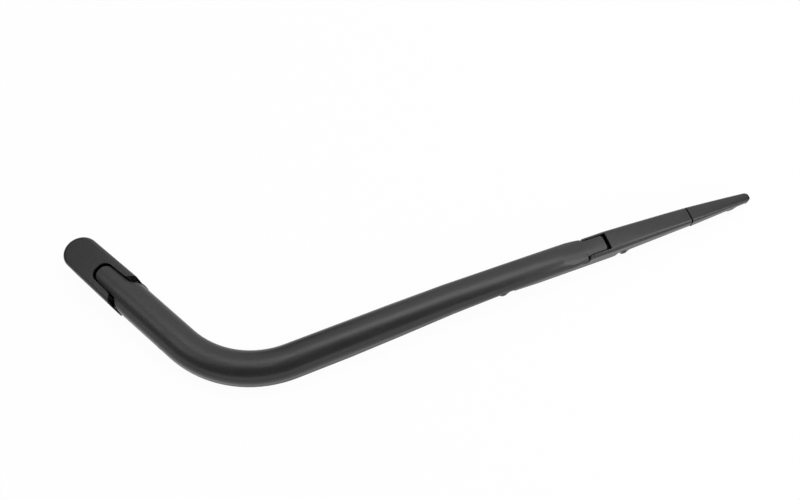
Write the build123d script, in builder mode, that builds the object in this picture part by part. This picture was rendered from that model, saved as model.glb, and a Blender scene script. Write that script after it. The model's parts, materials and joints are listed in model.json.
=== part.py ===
import math
import os

from build123d import *

os.makedirs("parts", exist_ok=True)

# Sizes are in millimetres. Heights are measured up from the underside of the head.
# The origin is on the spindle axis, halfway up the straight wall of the bore.
datum = 7.5

# Head and cover
leg_angle = -60.3
cap_radius = 14.1
cap_front = 0.8
cap_height = 22.0
cap_wall = 1.8
cap_end = 42.6
horn_end = 48.3
cap_flare = 0.9
cap_edge = 3.0
cap_lift = 0.3
notch_round = 7.2
boss_radius = 11.5
boss_height = 10.0
bore_radius = 4.25
bore_start = 5.0
taper_mouth = 5.3
tray_floor = 2.0
tray_half = 12.1
cheek_start = 49.8
cheek_end = 54.2
cheek_height = 6.3
cheek_wall = 1.7
cheek_half = 14.9
hinge_s = 33.0
hinge_z = 12.0
hinge_radius = 3.0
running_gap = 0.05
stub_s = 38.5
stub_z = 17.6
stub_radius = 1.5
lug_inner = 9.7
lug_wall = 2.3
collar_wall = 2.2
lug_back = 8.0
lug_front = 3.2
lug_slope = 2.5

# Arm
wall = 2.2
tongue_start = 22.2
tongue_half = 7.3
tongue_root = 8.6
tongue_gap = 0.7
tongue_thick = 2.6
tongue_round = 6.6
ear_drop = 4.6
ear_gap = 10.8
ear_front = 3.5
ear_back = 6.0
tongue_swing = 2.8
shoulder_s = 48.4
shoulder_run = 9.5
shoulder_lap = 0.6
shoulder_bulge = 3.4
leg_top = 21.3
leg_bottom = 6.6
leg_width = 28.0
bend_radius = 84.5
bend_out = 1.6
hood_wall = 1.6
hood_width = 22.6
hood_top = 24.2
hood_bottom = 15.6
hood_end = -56.0
hood_rise = -60.0
hood_fall = -12.0
wall_lift = -190.0
wall_level = -35.0
narrow_from = 6.0
neck_x = 19.0
neck_width = 13.6
narrow_to = 28.0
hood_stations = (-38.0, -20.0, -4.0, 6.0, 11.0, 14.0, 17.0, 20.0, 28.0)
leg_length = 163.2
run_reach = 281.94
run_side = 4.76
crown_share = 0.19
corner_share = 0.32
anchor_s = 38.0
anchor_z = 6.5
anchor_radius = 1.4
anchor_reach = 4.6
anchor_lug = 2.0
post_s = 102.0
post_z = 10.0
post_radius = 1.8
post_cover = 0.9
coil_radius = 3.3
wire = 1.3
coil_turns = 16
coil_sides = 6
hook_length = 11.0
rib_wall = 1.6
rib_depth = 10.0
run_ribs = (22.0, 52.0)
bend_ribs = (0.3, 0.75)
hollow_end = -12.0

# Blade, measured from its centre pin
pin_z = 11.0
pin_radius = 2.0
pin_cover = 0.7
pocket_roof = 17.4
pocket_length = 16.4
pocket_width = 12.4
clip_play = 0.4
clip_wall = 1.9
clip_flange = 1.6
clip_stem = 6.4
tongue_tip = 36.2
tip_width = 11.8
tip_top = 20.4
tip_bottom = 17.2
tip_round = 2.6
blade_half = 175.2
claw_in = 54.0
claw_out = 157.0
bridge_half = 115.3
bridge_wide = 9.7
bridge_narrow = 7.3
bridge_wall = 1.9
bridge_top = 20.4
bridge_skirt = 5.2
skirt_high = 10.8
skirt_end = 10.2
blade_crown = 0.6
roof_wall = 2.3
deck_top = 14.0
deck_wall = 1.8
deck_step = 40.0
inner_top = 14.9
full_width = 24.0
rail_start = 17.0
rail_low = 12.4
rail_middle = 77.0
rail_middle_top = 18.6
window_start = -12.0
window_end = 39.6
window_half = 7.3
window_floor = 8.4
floor_wall = 1.4
clip_room = 9.5
floor_reach = 6.0
yoke_pin_z = 10.2
yoke_pin_radius = 1.5
yoke_lug_half = 4.6
lug_peak = 12.8
seam_gap = 0.9
seam_top = 15.4
seam_corner = 3.2
nose_middle = 136.0
tip_half = 3.9
band_inset = 0.5
band_bottom = 5.4
band_top = 9.6
claw_bottom = 2.4
claw_top = 4.8
claw_length = 5.6
claw_chamfer = 1.1
slot_bottom = 3.1
slot_top = 7.1
slot_half = 3.4
neck_slot = 1.9
rubber_top = 6.6
rubber_head = 2.6
rubber_web = 0.85
rubber_neck = 0.75
rubber_wing = 2.2
lip_half = 0.4
lip_z = -4.0
strip_z = 4.875
strip_wide = 2.3
strip_thick = 1.1


def across(x, y, heading):
    """Upright plane whose normal looks along the heading, with its origin at the head's underside."""
    turn = math.radians(heading)
    return Plane(
        origin=(x, y, -datum),
        x_dir=(-math.sin(turn), math.cos(turn), 0),
        z_dir=(math.cos(turn), math.sin(turn), 0),
    )


def channel(plane, width, top, bottom, crown, corner, lean=0.07):
    """One outer section: leaning sides, a crowned top and rounded shoulders."""
    half = width / 2
    shoulder = half - lean * (top - bottom)
    with BuildSketch(plane) as section:
        with BuildLine():
            Polyline((-shoulder, top - crown), (-half, bottom), (half, bottom), (shoulder, top - crown))
            ThreePointArc((shoulder, top - crown), (0, top), (-shoulder, top - crown))
        make_face()
        fillet(section.vertices().sort_by(Axis.Y)[-2:], corner)
    return section.sketch


def arm_section(plane, width, top, bottom):
    """One outer section of the arm, nearly half an ellipse on low walls."""
    crown = crown_share * width
    corner = min(corner_share * width, 1.6 * (top - crown - bottom))
    return channel(plane, width, top, bottom, crown, corner, 0.05)


def hollow(plane, width, top, bottom, thick):
    """One section of the space inside the arm, with flats that follow the crown."""
    half = width / 2 - thick
    roof = top - thick
    with BuildSketch(plane) as section:
        with BuildLine():
            Polyline(
                (-half, bottom - 3),
                (half, bottom - 3),
                (half, roof - 0.55 * half),
                (0.86 * half, roof - 0.26 * half),
                (0.5 * half, roof - 0.05 * half),
                (-0.5 * half, roof - 0.05 * half),
                (-0.86 * half, roof - 0.26 * half),
                (-half, roof - 0.55 * half),
                close=True,
            )
        make_face()
    return section.sketch


leg_turn = math.radians(leg_angle)
along = (math.cos(leg_turn), math.sin(leg_turn), 0)
left = (-math.sin(leg_turn), math.cos(leg_turn), 0)
leg = Plane(origin=(0, 0, -datum), x_dir=along, z_dir=(0, 0, 1))
leg_side = Plane(origin=(0, 0, -datum), x_dir=along, z_dir=(-left[0], -left[1], 0))
pivot_x = along[0] * leg_length + run_reach
pivot_y = along[1] * leg_length + run_side
blade = Plane(origin=(pivot_x, pivot_y, -datum), x_dir=(1, 0, 0), z_dir=(0, 0, 1))
blade_side = Plane(origin=(pivot_x, pivot_y, -datum), x_dir=(1, 0, 0), z_dir=(0, -1, 0))


def leg_point(s):
    return (along[0] * s, along[1] * s)


def half_width(x):
    """Half the blade's width at a distance from its centre pin."""
    if x <= window_end:
        return bridge_wide
    if x <= bridge_half:
        return bridge_narrow + (bridge_wide - bridge_narrow) * (bridge_half - x) / (
            bridge_half - window_end
        )
    share = (x - bridge_half) / (blade_half - bridge_half)
    return bridge_narrow + (tip_half - bridge_narrow) * share


# Pivot head: boss, tray, cheeks and the two lugs that carry the hinge pin and the cover
flare = math.radians(cap_flare)
tray_wide = tray_half + cheek_start * math.tan(flare)
lug_outer = lug_inner + lug_wall
collar_start = tongue_root - 0.3
lug_top = cap_height - cap_wall - 0.7
with BuildPart() as pivot_head:
    with BuildSketch(leg):
        Circle(boss_radius)
    extrude(amount=boss_height)
    with BuildSketch(leg):
        with BuildLine():
            Polyline(
                (0, -tray_half),
                (cheek_start, -tray_wide),
                (cheek_start, tray_wide),
                (0, tray_half),
                close=True,
            )
        make_face()
        with Locations(((cheek_start + cheek_end) / 2, 0)):
            Rectangle(cheek_end - cheek_start, 2 * cheek_half)
    extrude(amount=tray_floor)
    with BuildSketch(leg):
        for side in (-1, 1):
            with Locations(((cheek_start + cheek_end) / 2, side * (cheek_half - cheek_wall / 2))):
                Rectangle(cheek_end - cheek_start, cheek_wall)
    extrude(amount=cheek_height)
    for side in (-1, 1):
        with BuildSketch(leg_side.offset(side * (lug_inner + lug_wall / 2))):
            with BuildLine():
                Polyline(
                    (hinge_s - lug_back, 0),
                    (stub_s + lug_front, 0),
                    (stub_s + lug_front, lug_top - lug_slope),
                    (stub_s + lug_front / 2, lug_top),
                    (stub_s - lug_front, lug_top),
                    (hinge_s - lug_back / 2, hinge_z + 1.5 * hinge_radius),
                    (hinge_s - lug_back, tray_floor + lug_slope),
                    close=True,
                )
            make_face()
        extrude(amount=lug_wall / 2, both=True)
        with BuildSketch(leg_side.offset(side * (collar_start + lug_inner) / 2)):
            with Locations((hinge_s, hinge_z)):
                Circle(hinge_radius + collar_wall)
        extrude(amount=(lug_inner - collar_start) / 2 + 0.15, both=True)
        with BuildSketch(leg_side.offset(side * (anchor_reach - 0.2 - anchor_lug / 2))):
            with BuildLine():
                Polyline(
                    (anchor_s - 4, 0),
                    (anchor_s + 4, 0),
                    (anchor_s + 2.6, anchor_z + 1),
                    (anchor_s, anchor_z + 2.4),
                    (anchor_s - 2.6, anchor_z + 1),
                    close=True,
                )
            make_face()
        extrude(amount=anchor_lug / 2, both=True)
    with BuildSketch(leg_side):
        with Locations((hinge_s, hinge_z)):
            Circle(hinge_radius)
    extrude(amount=lug_outer + 1, both=True, mode=Mode.SUBTRACT)
    with BuildSketch(leg_side):
        with Locations((stub_s, stub_z)):
            Circle(stub_radius + running_gap)
    extrude(amount=lug_outer + 1, both=True, mode=Mode.SUBTRACT)
    with BuildSketch(leg_side):
        with Locations((anchor_s, anchor_z)):
            Circle(anchor_radius)
    extrude(amount=anchor_reach, both=True, mode=Mode.SUBTRACT)
    with BuildSketch(leg):
        Circle(bore_radius)
    extrude(amount=boss_height, mode=Mode.SUBTRACT)
    with BuildSketch(leg):
        Circle(taper_mouth)
    with BuildSketch(leg.offset(bore_start)):
        Circle(bore_radius)
    loft(mode=Mode.SUBTRACT)
pivot_head.part.label = "pivot_head"
export_step(pivot_head.part, "parts/pivot_head.step")

# Head cover: a rounded shell with a notch around the tongue and two stubs to flip on
notch_start = tongue_start - tongue_swing
cap_inside = cap_radius - cap_wall


def flare_start(radius, side):
    """Where a flared side leaves the cover's round end."""
    return (-cap_front - radius * math.sin(flare), side * radius * math.cos(flare))


def cover_half(s, radius):
    """Half the width of the cover, or of the space in it, at a distance from the spindle."""
    return (radius + (s + cap_front) * math.sin(flare)) / math.cos(flare)


stub_end = cover_half(stub_s, cap_inside)
with BuildPart() as head_cover:
    with BuildSketch(leg.offset(cap_lift)):
        with Locations((-cap_front, 0)):
            Circle(cap_radius)
        with BuildLine():
            Polyline(
                flare_start(cap_radius, -1),
                (horn_end, -cover_half(horn_end, cap_radius)),
                (cap_end, -tongue_root),
                (cap_end, tongue_root),
                (horn_end, cover_half(horn_end, cap_radius)),
                flare_start(cap_radius, 1),
                close=True,
            )
        make_face()
    extrude(amount=cap_height - cap_lift)
    top_edges = head_cover.faces().sort_by(Axis.Z)[-1].edges()
    fillet([edge for edge in top_edges if edge.center().dot(Vector(*along)) < cap_end - 1], cap_edge)
    with BuildSketch(leg):
        with Locations((-cap_front, 0)):
            Circle(cap_inside)
        with BuildLine():
            Polyline(
                flare_start(cap_inside, -1),
                (horn_end + 1, -cover_half(horn_end + 1, cap_inside)),
                (horn_end + 1, cover_half(horn_end + 1, cap_inside)),
                flare_start(cap_inside, 1),
                close=True,
            )
        make_face()
    extrude(amount=cap_height - cap_wall, mode=Mode.SUBTRACT)
    with BuildSketch(leg) as notch:
        with BuildLine():
            Polyline(
                (notch_start, -tongue_half - tongue_gap),
                (cap_end + 1, -tongue_root - tongue_gap),
                (cap_end + 1, tongue_root + tongue_gap),
                (notch_start, tongue_half + tongue_gap),
                close=True,
            )
        make_face()
        ends = [v for v in notch.vertices() if v.X < (notch_start + cap_end) / 2]
        fillet(ends, notch_round)
    extrude(amount=cap_height + 1, mode=Mode.SUBTRACT)
    for side in (-1, 1):
        with BuildSketch(leg_side.offset(side * (lug_inner + stub_end) / 2)):
            with Locations((stub_s, stub_z)):
                Circle(stub_radius)
        extrude(amount=(stub_end - lug_inner) / 2 + 0.1, both=True)
head_cover.part.label = "head_cover"
export_step(head_cover.part, "parts/head_cover.step")

# Arm: the stations run from the bend to the tongue, measured from the blade's pin
bend_turn = bend_out - leg_angle
tangent = bend_radius * math.tan(math.radians(bend_turn / 2))
bend_start = leg_length - tangent
bx, by = leg_point(bend_start)
cx = bx + left[0] * bend_radius
cy = by + left[1] * bend_radius
out_turn = math.radians(bend_out)
ex = cx + math.sin(out_turn) * bend_radius
ey = cy - math.cos(out_turn) * bend_radius
first = ex - pivot_x


def ease(x, start, end):
    """Soft step from 0 at the start to 1 at the end."""
    share = min(max((x - start) / (end - start), 0), 1)
    return share * share * (3 - 2 * share)


def run_size(x):
    """Plane, width, top and bottom of the arm at a distance from the blade's pin."""
    width = leg_width + (hood_width - leg_width) * ease(x, first, narrow_from)
    width += (neck_width - hood_width) * ease(x, narrow_from, neck_x)
    width += (tip_width - neck_width) * ease(x, neck_x, narrow_to)
    top = leg_top + (hood_top - leg_top) * ease(x, first, hood_rise)
    top += (tip_top - hood_top) * ease(x, hood_fall, narrow_to)
    bottom = leg_bottom + (hood_bottom - leg_bottom) * ease(x, wall_lift, wall_level)
    bottom += (tip_bottom - hood_bottom) * ease(x, 0, narrow_to)
    y = ey + (x - first) * math.tan(out_turn)
    heading = bend_out if y < pivot_y else 0
    return across(pivot_x + x, min(y, pivot_y), heading), width, top, bottom


slow = [first + (hood_end - first) * k / 4 for k in range(4)]
quick = [hood_end, *hood_stations, tongue_tip]
with BuildPart() as outer_run:
    outer = []
    inner = []
    for x in slow + quick:
        plane, width, top, bottom = run_size(x)
        outer.append(arm_section(plane, width, top, bottom))
        if x < hollow_end:
            thick = wall + (hood_wall - wall) * ease(x, first, hood_rise)
            inner.append(hollow(plane, width, top, bottom, thick))
    loft(sections=outer, ruled=True)
    with BuildPart(mode=Mode.PRIVATE) as run_core:
        loft(sections=inner, ruled=True)
        for x in run_ribs:
            with Locations(across(pivot_x + first + x, pivot_y, 0)):
                with Locations((0, leg_top - rib_depth / 2, 0)):
                    Box(2 * leg_width, rib_depth, rib_wall, mode=Mode.SUBTRACT)
    add(run_core.part, mode=Mode.SUBTRACT)

bend_plane = across(bx, by, leg_angle)
bend_shape = arm_section(bend_plane, leg_width, leg_top, leg_bottom)
bend_inside = hollow(bend_plane, leg_width, leg_top, leg_bottom, wall)
bend_axis = Axis((cx, cy, 0), (0, 0, 1))
with BuildPart() as bend_run:
    revolve(profiles=[bend_shape], axis=bend_axis, revolution_arc=bend_turn)
    with BuildPart(mode=Mode.PRIVATE) as bend_core:
        revolve(profiles=[bend_inside], axis=bend_axis, revolution_arc=bend_turn)
        for turn in bend_ribs:
            heading = leg_angle + turn * bend_turn
            place = math.radians(heading)
            spot = across(
                cx + math.sin(place) * bend_radius, cy - math.cos(place) * bend_radius, heading
            )
            with Locations(spot):
                with Locations((0, leg_top - rib_depth / 2, 0)):
                    Box(2 * leg_width, rib_depth, rib_wall, mode=Mode.SUBTRACT)
    add(bend_core.part, mode=Mode.SUBTRACT)

with BuildPart() as arm:
    extrude(bend_shape, amount=shoulder_s - bend_start)
    extrude(bend_inside, amount=shoulder_s + wall - bend_start, mode=Mode.SUBTRACT)
    add(bend_run.part)
    add(outer_run.part)
    for side in (-1, 1):
        with BuildSketch(leg):
            with BuildLine():
                ThreePointArc(
                    (shoulder_s, side * (tongue_root + shoulder_lap)),
                    (shoulder_s + shoulder_bulge, side * (leg_width / 2 - 2.0)),
                    (shoulder_s + shoulder_run, side * (leg_width / 2 + 0.05)),
                )
                Polyline(
                    (shoulder_s + shoulder_run, side * (leg_width / 2 + 0.05)),
                    (shoulder_s + shoulder_run, side * (leg_width / 2 + 2)),
                    (shoulder_s - 1, side * (leg_width / 2 + 2)),
                    (shoulder_s - 1, side * (tongue_root + shoulder_lap)),
                    (shoulder_s, side * (tongue_root + shoulder_lap)),
                )
            make_face()
        extrude(amount=cap_height + 5, mode=Mode.SUBTRACT)
    with BuildPart(mode=Mode.PRIVATE) as tongue:
        with BuildSketch(leg) as plan:
            with BuildLine():
                Polyline(
                    (tongue_start, -tongue_half),
                    (shoulder_s + 4, -tongue_root),
                    (shoulder_s + 4, tongue_root),
                    (tongue_start, tongue_half),
                    close=True,
                )
            make_face()
            fillet([v for v in plan.vertices() if v.X < shoulder_s], tongue_round)
        extrude(amount=leg_top)
        extrude(bend_shape, amount=tongue_start - 1 - bend_start, mode=Mode.INTERSECT)
        with BuildSketch(leg_side):
            with BuildLine():
                Polyline(
                    (tongue_start - 1, leg_top - tongue_thick),
                    (hinge_s - hinge_radius - 4, leg_top - tongue_thick),
                    (hinge_s - hinge_radius - 2.4, hinge_z),
                    (hinge_s - hinge_radius, hinge_z - ear_drop),
                    (hinge_s + hinge_radius, hinge_z - ear_drop),
                    (shoulder_s - 2, leg_bottom + 2.5),
                    (shoulder_s + 5, leg_bottom + 2.5),
                    (shoulder_s + 5, leg_top + 1),
                    (tongue_start - 1, leg_top + 1),
                    close=True,
                )
            make_face()
        extrude(amount=leg_width, both=True, mode=Mode.INTERSECT)
    add(tongue.part)
    with BuildSketch(leg):
        with Locations(((tongue_start + ear_front + shoulder_s + ear_back) / 2, 0)):
            Rectangle(shoulder_s + ear_back - tongue_start - ear_front, ear_gap)
    extrude(amount=leg_top - tongue_thick, mode=Mode.SUBTRACT)
    with BuildSketch(leg_side):
        with Locations((hinge_s, hinge_z)):
            Circle(hinge_radius + running_gap)
        with Locations((post_s, post_z)):
            Circle(post_radius)
    extrude(amount=leg_width, both=True, mode=Mode.SUBTRACT)
    with BuildSketch(blade):
        Rectangle(pocket_length, pocket_width)
    extrude(amount=pocket_roof, mode=Mode.SUBTRACT)
    for side in (-1, 1):
        with BuildSketch(blade):
            with Locations((tongue_tip, side * tip_width / 2)):
                Rectangle(2 * tip_round, 2 * tip_round)
            with Locations((tongue_tip - tip_round, side * (tip_width / 2 - tip_round))):
                Circle(tip_round, mode=Mode.SUBTRACT)
        extrude(amount=cap_height + 5, mode=Mode.SUBTRACT)
arm.part.label = "arm"
export_step(arm.part, "parts/arm.step")

# Hinge pin, spring anchor and spring post
with BuildPart() as hinge_pin:
    with BuildSketch(leg_side):
        with Locations((hinge_s, hinge_z)):
            Circle(hinge_radius)
    extrude(amount=lug_outer, both=True)
hinge_pin.part.label = "hinge_pin"
export_step(hinge_pin.part, "parts/hinge_pin.step")

with BuildPart() as spring_anchor:
    with BuildSketch(leg_side):
        with Locations((anchor_s, anchor_z)):
            Circle(anchor_radius)
    extrude(amount=anchor_reach, both=True)
spring_anchor.part.label = "spring_anchor"
export_step(spring_anchor.part, "parts/spring_anchor.step")

with BuildPart() as spring_post:
    with BuildSketch(leg_side):
        with Locations((post_s, post_z)):
            Circle(post_radius)
    extrude(amount=leg_width / 2 - post_cover, both=True)
spring_post.part.label = "spring_post"
export_step(spring_post.part, "parts/spring_post.step")

# Tension spring: a coil of straight steps, with a straight end that reaches each pin
rise = math.atan2(post_z - anchor_z, post_s - anchor_s)
span = math.hypot(post_z - anchor_z, post_s - anchor_s)
coil_length = span - 2 * hook_length
axis_dir = (along[0] * math.cos(rise), along[1] * math.cos(rise), math.sin(rise))
anchor_point = (along[0] * anchor_s, along[1] * anchor_s, anchor_z - datum)
spring_frame = Plane(origin=anchor_point, x_dir=left, z_dir=axis_dir)
steps = coil_turns * coil_sides
coil_points = [
    spring_frame.from_local_coords(
        (
            coil_radius * math.cos(2 * math.pi * k / coil_sides),
            coil_radius * math.sin(2 * math.pi * k / coil_sides),
            hook_length + coil_length * k / steps,
        )
    )
    for k in range(steps + 1)
]
hook_points = [spring_frame.from_local_coords((0, 0, z)) for z in (
    anchor_radius + 0.02, hook_length, hook_length + coil_length, span - post_radius - 0.02
)]
with BuildPart() as tension_spring:
    with BuildLine() as coil_path:
        Polyline(*hook_points[:2], *coil_points, *hook_points[2:])
    with BuildSketch(Plane(origin=hook_points[0], z_dir=axis_dir, x_dir=left)):
        Rectangle(wire, wire)
    sweep(path=coil_path.line, transition=Transition.RIGHT)
tension_spring.part.label = "tension_spring"
export_step(tension_spring.part, "parts/tension_spring.step")

# Pivot clip: a bearing that snaps over the blade's pin from above
with BuildPart() as pivot_clip:
    with BuildSketch(blade_side) as outline:
        with Locations((0, pin_z)):
            Circle(pin_radius + clip_wall)
        with Locations((0, (pin_z + pocket_roof) / 2)):
            Rectangle(clip_stem, pocket_roof - pin_z)
        with Locations((0, pocket_roof - clip_flange / 2)):
            Rectangle(pocket_length - 2 * clip_play, clip_flange)
        with Locations((0, pin_z)):
            Circle(pin_radius + running_gap, mode=Mode.SUBTRACT)
        with Locations((0, pin_z - 2.5)):
            Rectangle(pin_radius * 1.6, 5, mode=Mode.SUBTRACT)
    extrude(amount=pocket_width / 2 - clip_play + 0.1, both=True)
pivot_clip.part.label = "pivot_clip"
export_step(pivot_clip.part, "parts/pivot_clip.step")

# Blade pin and the two yoke pins, all hidden behind the bridge's outer walls
yoke_centre = (claw_in + claw_out) / 2
pin_reach = bridge_narrow - pin_cover
with BuildPart() as blade_pin:
    with BuildSketch(blade_side):
        with Locations((0, pin_z)):
            Circle(pin_radius)
    extrude(amount=bridge_wide - pin_cover, both=True)
blade_pin.part.label = "blade_pin"
export_step(blade_pin.part, "parts/blade_pin.step")

with BuildPart() as outer_yoke_pin:
    with BuildSketch(blade_side):
        with Locations((yoke_centre, yoke_pin_z)):
            Circle(yoke_pin_radius)
    extrude(amount=pin_reach, both=True)
outer_yoke_pin.part.label = "outer_yoke_pin"
export_step(outer_yoke_pin.part, "parts/outer_yoke_pin.step")

with BuildPart() as inner_yoke_pin:
    with BuildSketch(blade_side):
        with Locations((-yoke_centre, yoke_pin_z)):
            Circle(yoke_pin_radius)
    extrude(amount=pin_reach, both=True)
inner_yoke_pin.part.label = "inner_yoke_pin"
export_step(inner_yoke_pin.part, "parts/inner_yoke_pin.step")

# Blade bridge: a long inverted channel, low under the arm and full height past the window
bridge_reach = bridge_half + 1
bridge_roof = bridge_top + 4
inner_narrow = bridge_narrow - bridge_wall
with BuildPart() as bridge_core:
    with BuildSketch(blade):
        with BuildLine():
            Polyline(
                (-bridge_reach, -inner_narrow),
                (-full_width, -window_half),
                (window_end, -window_half),
                (bridge_reach, -inner_narrow),
                (bridge_reach, inner_narrow),
                (window_end, window_half),
                (-full_width, window_half),
                (-bridge_reach, inner_narrow),
                close=True,
            )
        make_face()
    extrude(amount=bridge_roof)
    with BuildSketch(blade_side):
        with BuildLine():
            Polyline(
                (bridge_reach, 0),
                (-bridge_reach, 0),
                (-bridge_reach, inner_top - deck_wall),
                (-deck_step - 10, inner_top - deck_wall),
                (-deck_step, deck_top - deck_wall),
                (window_start, deck_top - deck_wall),
                (window_start, bridge_roof),
                (window_end, bridge_roof),
                (window_end, bridge_top - roof_wall),
                (rail_middle, rail_middle_top - roof_wall),
                (bridge_reach, seam_top - roof_wall),
                close=True,
            )
        make_face()
    extrude(amount=2 * bridge_wide, both=True, mode=Mode.INTERSECT)

# distance, top, corner
rails = [
    (rail_start - 1, rail_low, 1.0),
    (rail_start + 2.2, deck_top, 1.6),
    (rail_start + 4.4, bridge_top - 2.0, 2.6),
    (rail_start + 6.6, bridge_top - 0.2, 3.4),
    (window_end, bridge_top, 4.0),
    ((window_end + rail_middle) / 2, bridge_top - 0.7, 4.0),
    (rail_middle, rail_middle_top, 4.0),
    ((rail_middle + bridge_half) / 2, rail_middle_top - 1.4, 3.7),
    (bridge_half, seam_top, seam_corner),
]
with BuildPart() as blade_bridge:
    with BuildSketch(blade):
        with BuildLine():
            Polyline(
                (-bridge_half, -bridge_narrow),
                (-full_width, -bridge_wide),
                (rail_start, -bridge_wide),
                (rail_start, bridge_wide),
                (-full_width, bridge_wide),
                (-bridge_half, bridge_narrow),
                close=True,
            )
        make_face()
    extrude(amount=bridge_roof)
    with BuildSketch(blade_side):
        with BuildLine():
            Polyline(
                (rail_start, 0),
                (-bridge_half, 0),
                (-bridge_half, inner_top),
                (-deck_step - 10, inner_top),
                (-deck_step, deck_top),
                (rail_start - 15, deck_top),
                (rail_start, rail_low),
                close=True,
            )
        make_face()
    extrude(amount=2 * bridge_wide, both=True, mode=Mode.INTERSECT)
    loft(
        sections=[
            channel(across(pivot_x + x, pivot_y, 0), 2 * half_width(x), top, 0, blade_crown, corner, 0)
            for x, top, corner in rails
        ],
        ruled=True,
    )
    add(bridge_core.part, mode=Mode.SUBTRACT)
    with BuildSketch(blade_side):
        with Locations(((clip_room + window_end + floor_reach) / 2, window_floor + floor_wall / 2)):
            Rectangle(window_end + floor_reach - clip_room, floor_wall)
    extrude(amount=window_half + 0.3, both=True)
    with BuildSketch(blade_side):
        with BuildLine():
            Polyline(
                (bridge_reach, -1),
                (bridge_reach, skirt_end),
                (claw_in - 5.5, skirt_high),
                (claw_in - 9, bridge_skirt),
                (9 - claw_in, bridge_skirt),
                (5.5 - claw_in, skirt_high),
                (-bridge_reach, skirt_end),
                (-bridge_reach, -1),
                close=True,
            )
        make_face()
    extrude(amount=2 * bridge_wide, both=True, mode=Mode.SUBTRACT)
    with BuildSketch(blade_side):
        with Locations((yoke_centre, yoke_pin_z), (-yoke_centre, yoke_pin_z)):
            Circle(yoke_pin_radius)
    extrude(amount=pin_reach, both=True, mode=Mode.SUBTRACT)
    with BuildSketch(blade_side):
        with Locations((0, pin_z)):
            Circle(pin_radius)
    extrude(amount=bridge_wide - pin_cover, both=True, mode=Mode.SUBTRACT)
blade_bridge.part.label = "blade_bridge"
export_step(blade_bridge.part, "parts/blade_bridge.step")

# Yokes: a low band under the bridge, a lug on the pin, a full nose past the seam and two claws
band_start = claw_in - 4.5
nose_start = bridge_half + seam_gap
band_end = nose_start + 1
yoke_middle = (band_start + blade_half) / 2
yoke_length = blade_half - band_start + 4
# distance, half width, top, corner
nose = [
    (nose_start, half_width(nose_start), seam_top, seam_corner),
    (nose_middle, half_width(nose_middle), seam_top - 2.0, 2.7),
    (claw_out, half_width(claw_out), seam_top - 4.5, 2.2),
    (blade_half - 2.0, tip_half, seam_top - 6.5, 1.8),
    (blade_half, tip_half - 1.2, seam_top - 7.1, 1.4),
]
with BuildPart() as outer_yoke:
    with BuildSketch(blade):
        with BuildLine():
            Polyline(
                (band_start, -half_width(band_start) + band_inset),
                (band_end, -half_width(band_end) + band_inset),
                (band_end, half_width(band_end) - band_inset),
                (band_start, half_width(band_start) - band_inset),
                close=True,
            )
        make_face()
    extrude(amount=bridge_roof)
    with BuildSketch(blade_side):
        with BuildLine():
            Polyline(
                (band_end, band_bottom),
                (claw_in + 5, band_bottom),
                (claw_in + 2.8, claw_bottom),
                (claw_in - 2.4, claw_bottom),
                (band_start, band_bottom),
                (band_start, band_top - 1.4),
                (yoke_centre - 10, band_top),
                (band_end, band_top - 0.3),
                close=True,
            )
        make_face()
    extrude(amount=2 * bridge_wide, both=True, mode=Mode.INTERSECT)
    loft(
        sections=[
            channel(across(pivot_x + x, pivot_y, 0), 2 * half, top, 1, blade_crown, corner, 0)
            for x, half, top, corner in nose
        ],
        ruled=True,
    )
    with BuildSketch(blade_side):
        with BuildLine():
            Polyline(
                (blade_half + 1, claw_bottom + 0.4),
                (blade_half - 2.5, claw_bottom + 0.4),
                (blade_half - 5.0, claw_top - 0.4),
                (claw_out + 5.5, claw_top),
                (claw_out + 2.6, claw_bottom),
                (claw_out - 2.6, claw_bottom),
                (claw_out - 5.0, claw_top),
                (nose_start - 1, band_bottom),
                (nose_start - 1, 0),
                (blade_half + 1, 0),
                close=True,
            )
        make_face()
    extrude(amount=2 * bridge_wide, both=True, mode=Mode.SUBTRACT)
    with BuildSketch(blade.offset(claw_bottom)) as claws:
        for x in (claw_in, claw_out):
            with Locations((x, 0)):
                Rectangle(claw_length, 2 * half_width(x) + 0.2)
        chamfer(claws.vertices(), claw_chamfer)
    extrude(amount=claw_top - claw_bottom)
    with BuildSketch(blade_side):
        with BuildLine():
            Polyline(
                (band_start + 1, slot_top + 0.1),
                (band_start + 1, band_top + 0.3),
                (yoke_centre - 6, lug_peak - 0.8),
                (yoke_centre - 3, lug_peak),
                (yoke_centre + 3, lug_peak),
                (band_end, lug_peak - 0.6),
                (band_end, slot_top + 0.1),
                close=True,
            )
        make_face()
    extrude(amount=yoke_lug_half, both=True)
    with BuildSketch(blade):
        with BuildLine():
            Polyline(
                (nose_start + 2, -yoke_lug_half - 0.2),
                (claw_out, -slot_half),
                (blade_half + 1, 1.9 - tip_half),
                (blade_half + 1, tip_half - 1.9),
                (claw_out, slot_half),
                (nose_start + 2, yoke_lug_half + 0.2),
                close=True,
            )
        make_face()
    extrude(amount=slot_top, mode=Mode.SUBTRACT)
    with BuildSketch(blade_side):
        with Locations((yoke_centre, yoke_pin_z)):
            Circle(yoke_pin_radius + running_gap)
    extrude(amount=2 * bridge_wide, both=True, mode=Mode.SUBTRACT)
    with BuildSketch(blade):
        with Locations((yoke_middle, 0)):
            Rectangle(yoke_length, neck_slot)
    extrude(amount=slot_top, mode=Mode.SUBTRACT)
    with BuildSketch(blade.offset(slot_bottom)):
        with Locations((yoke_middle, 0)):
            Rectangle(yoke_length, 2 * slot_half)
    extrude(amount=slot_top - slot_bottom, mode=Mode.SUBTRACT)
outer_yoke.part.label = "outer_yoke"
export_step(outer_yoke.part, "parts/outer_yoke.step")

with BuildPart() as inner_yoke:
    with Locations(Location((pivot_x, pivot_y, 0), (0, 0, 180))):
        add(outer_yoke.part.moved(Location((-pivot_x, -pivot_y, 0))))
inner_yoke.part.label = "inner_yoke"
export_step(inner_yoke.part, "parts/inner_yoke.step")

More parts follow.
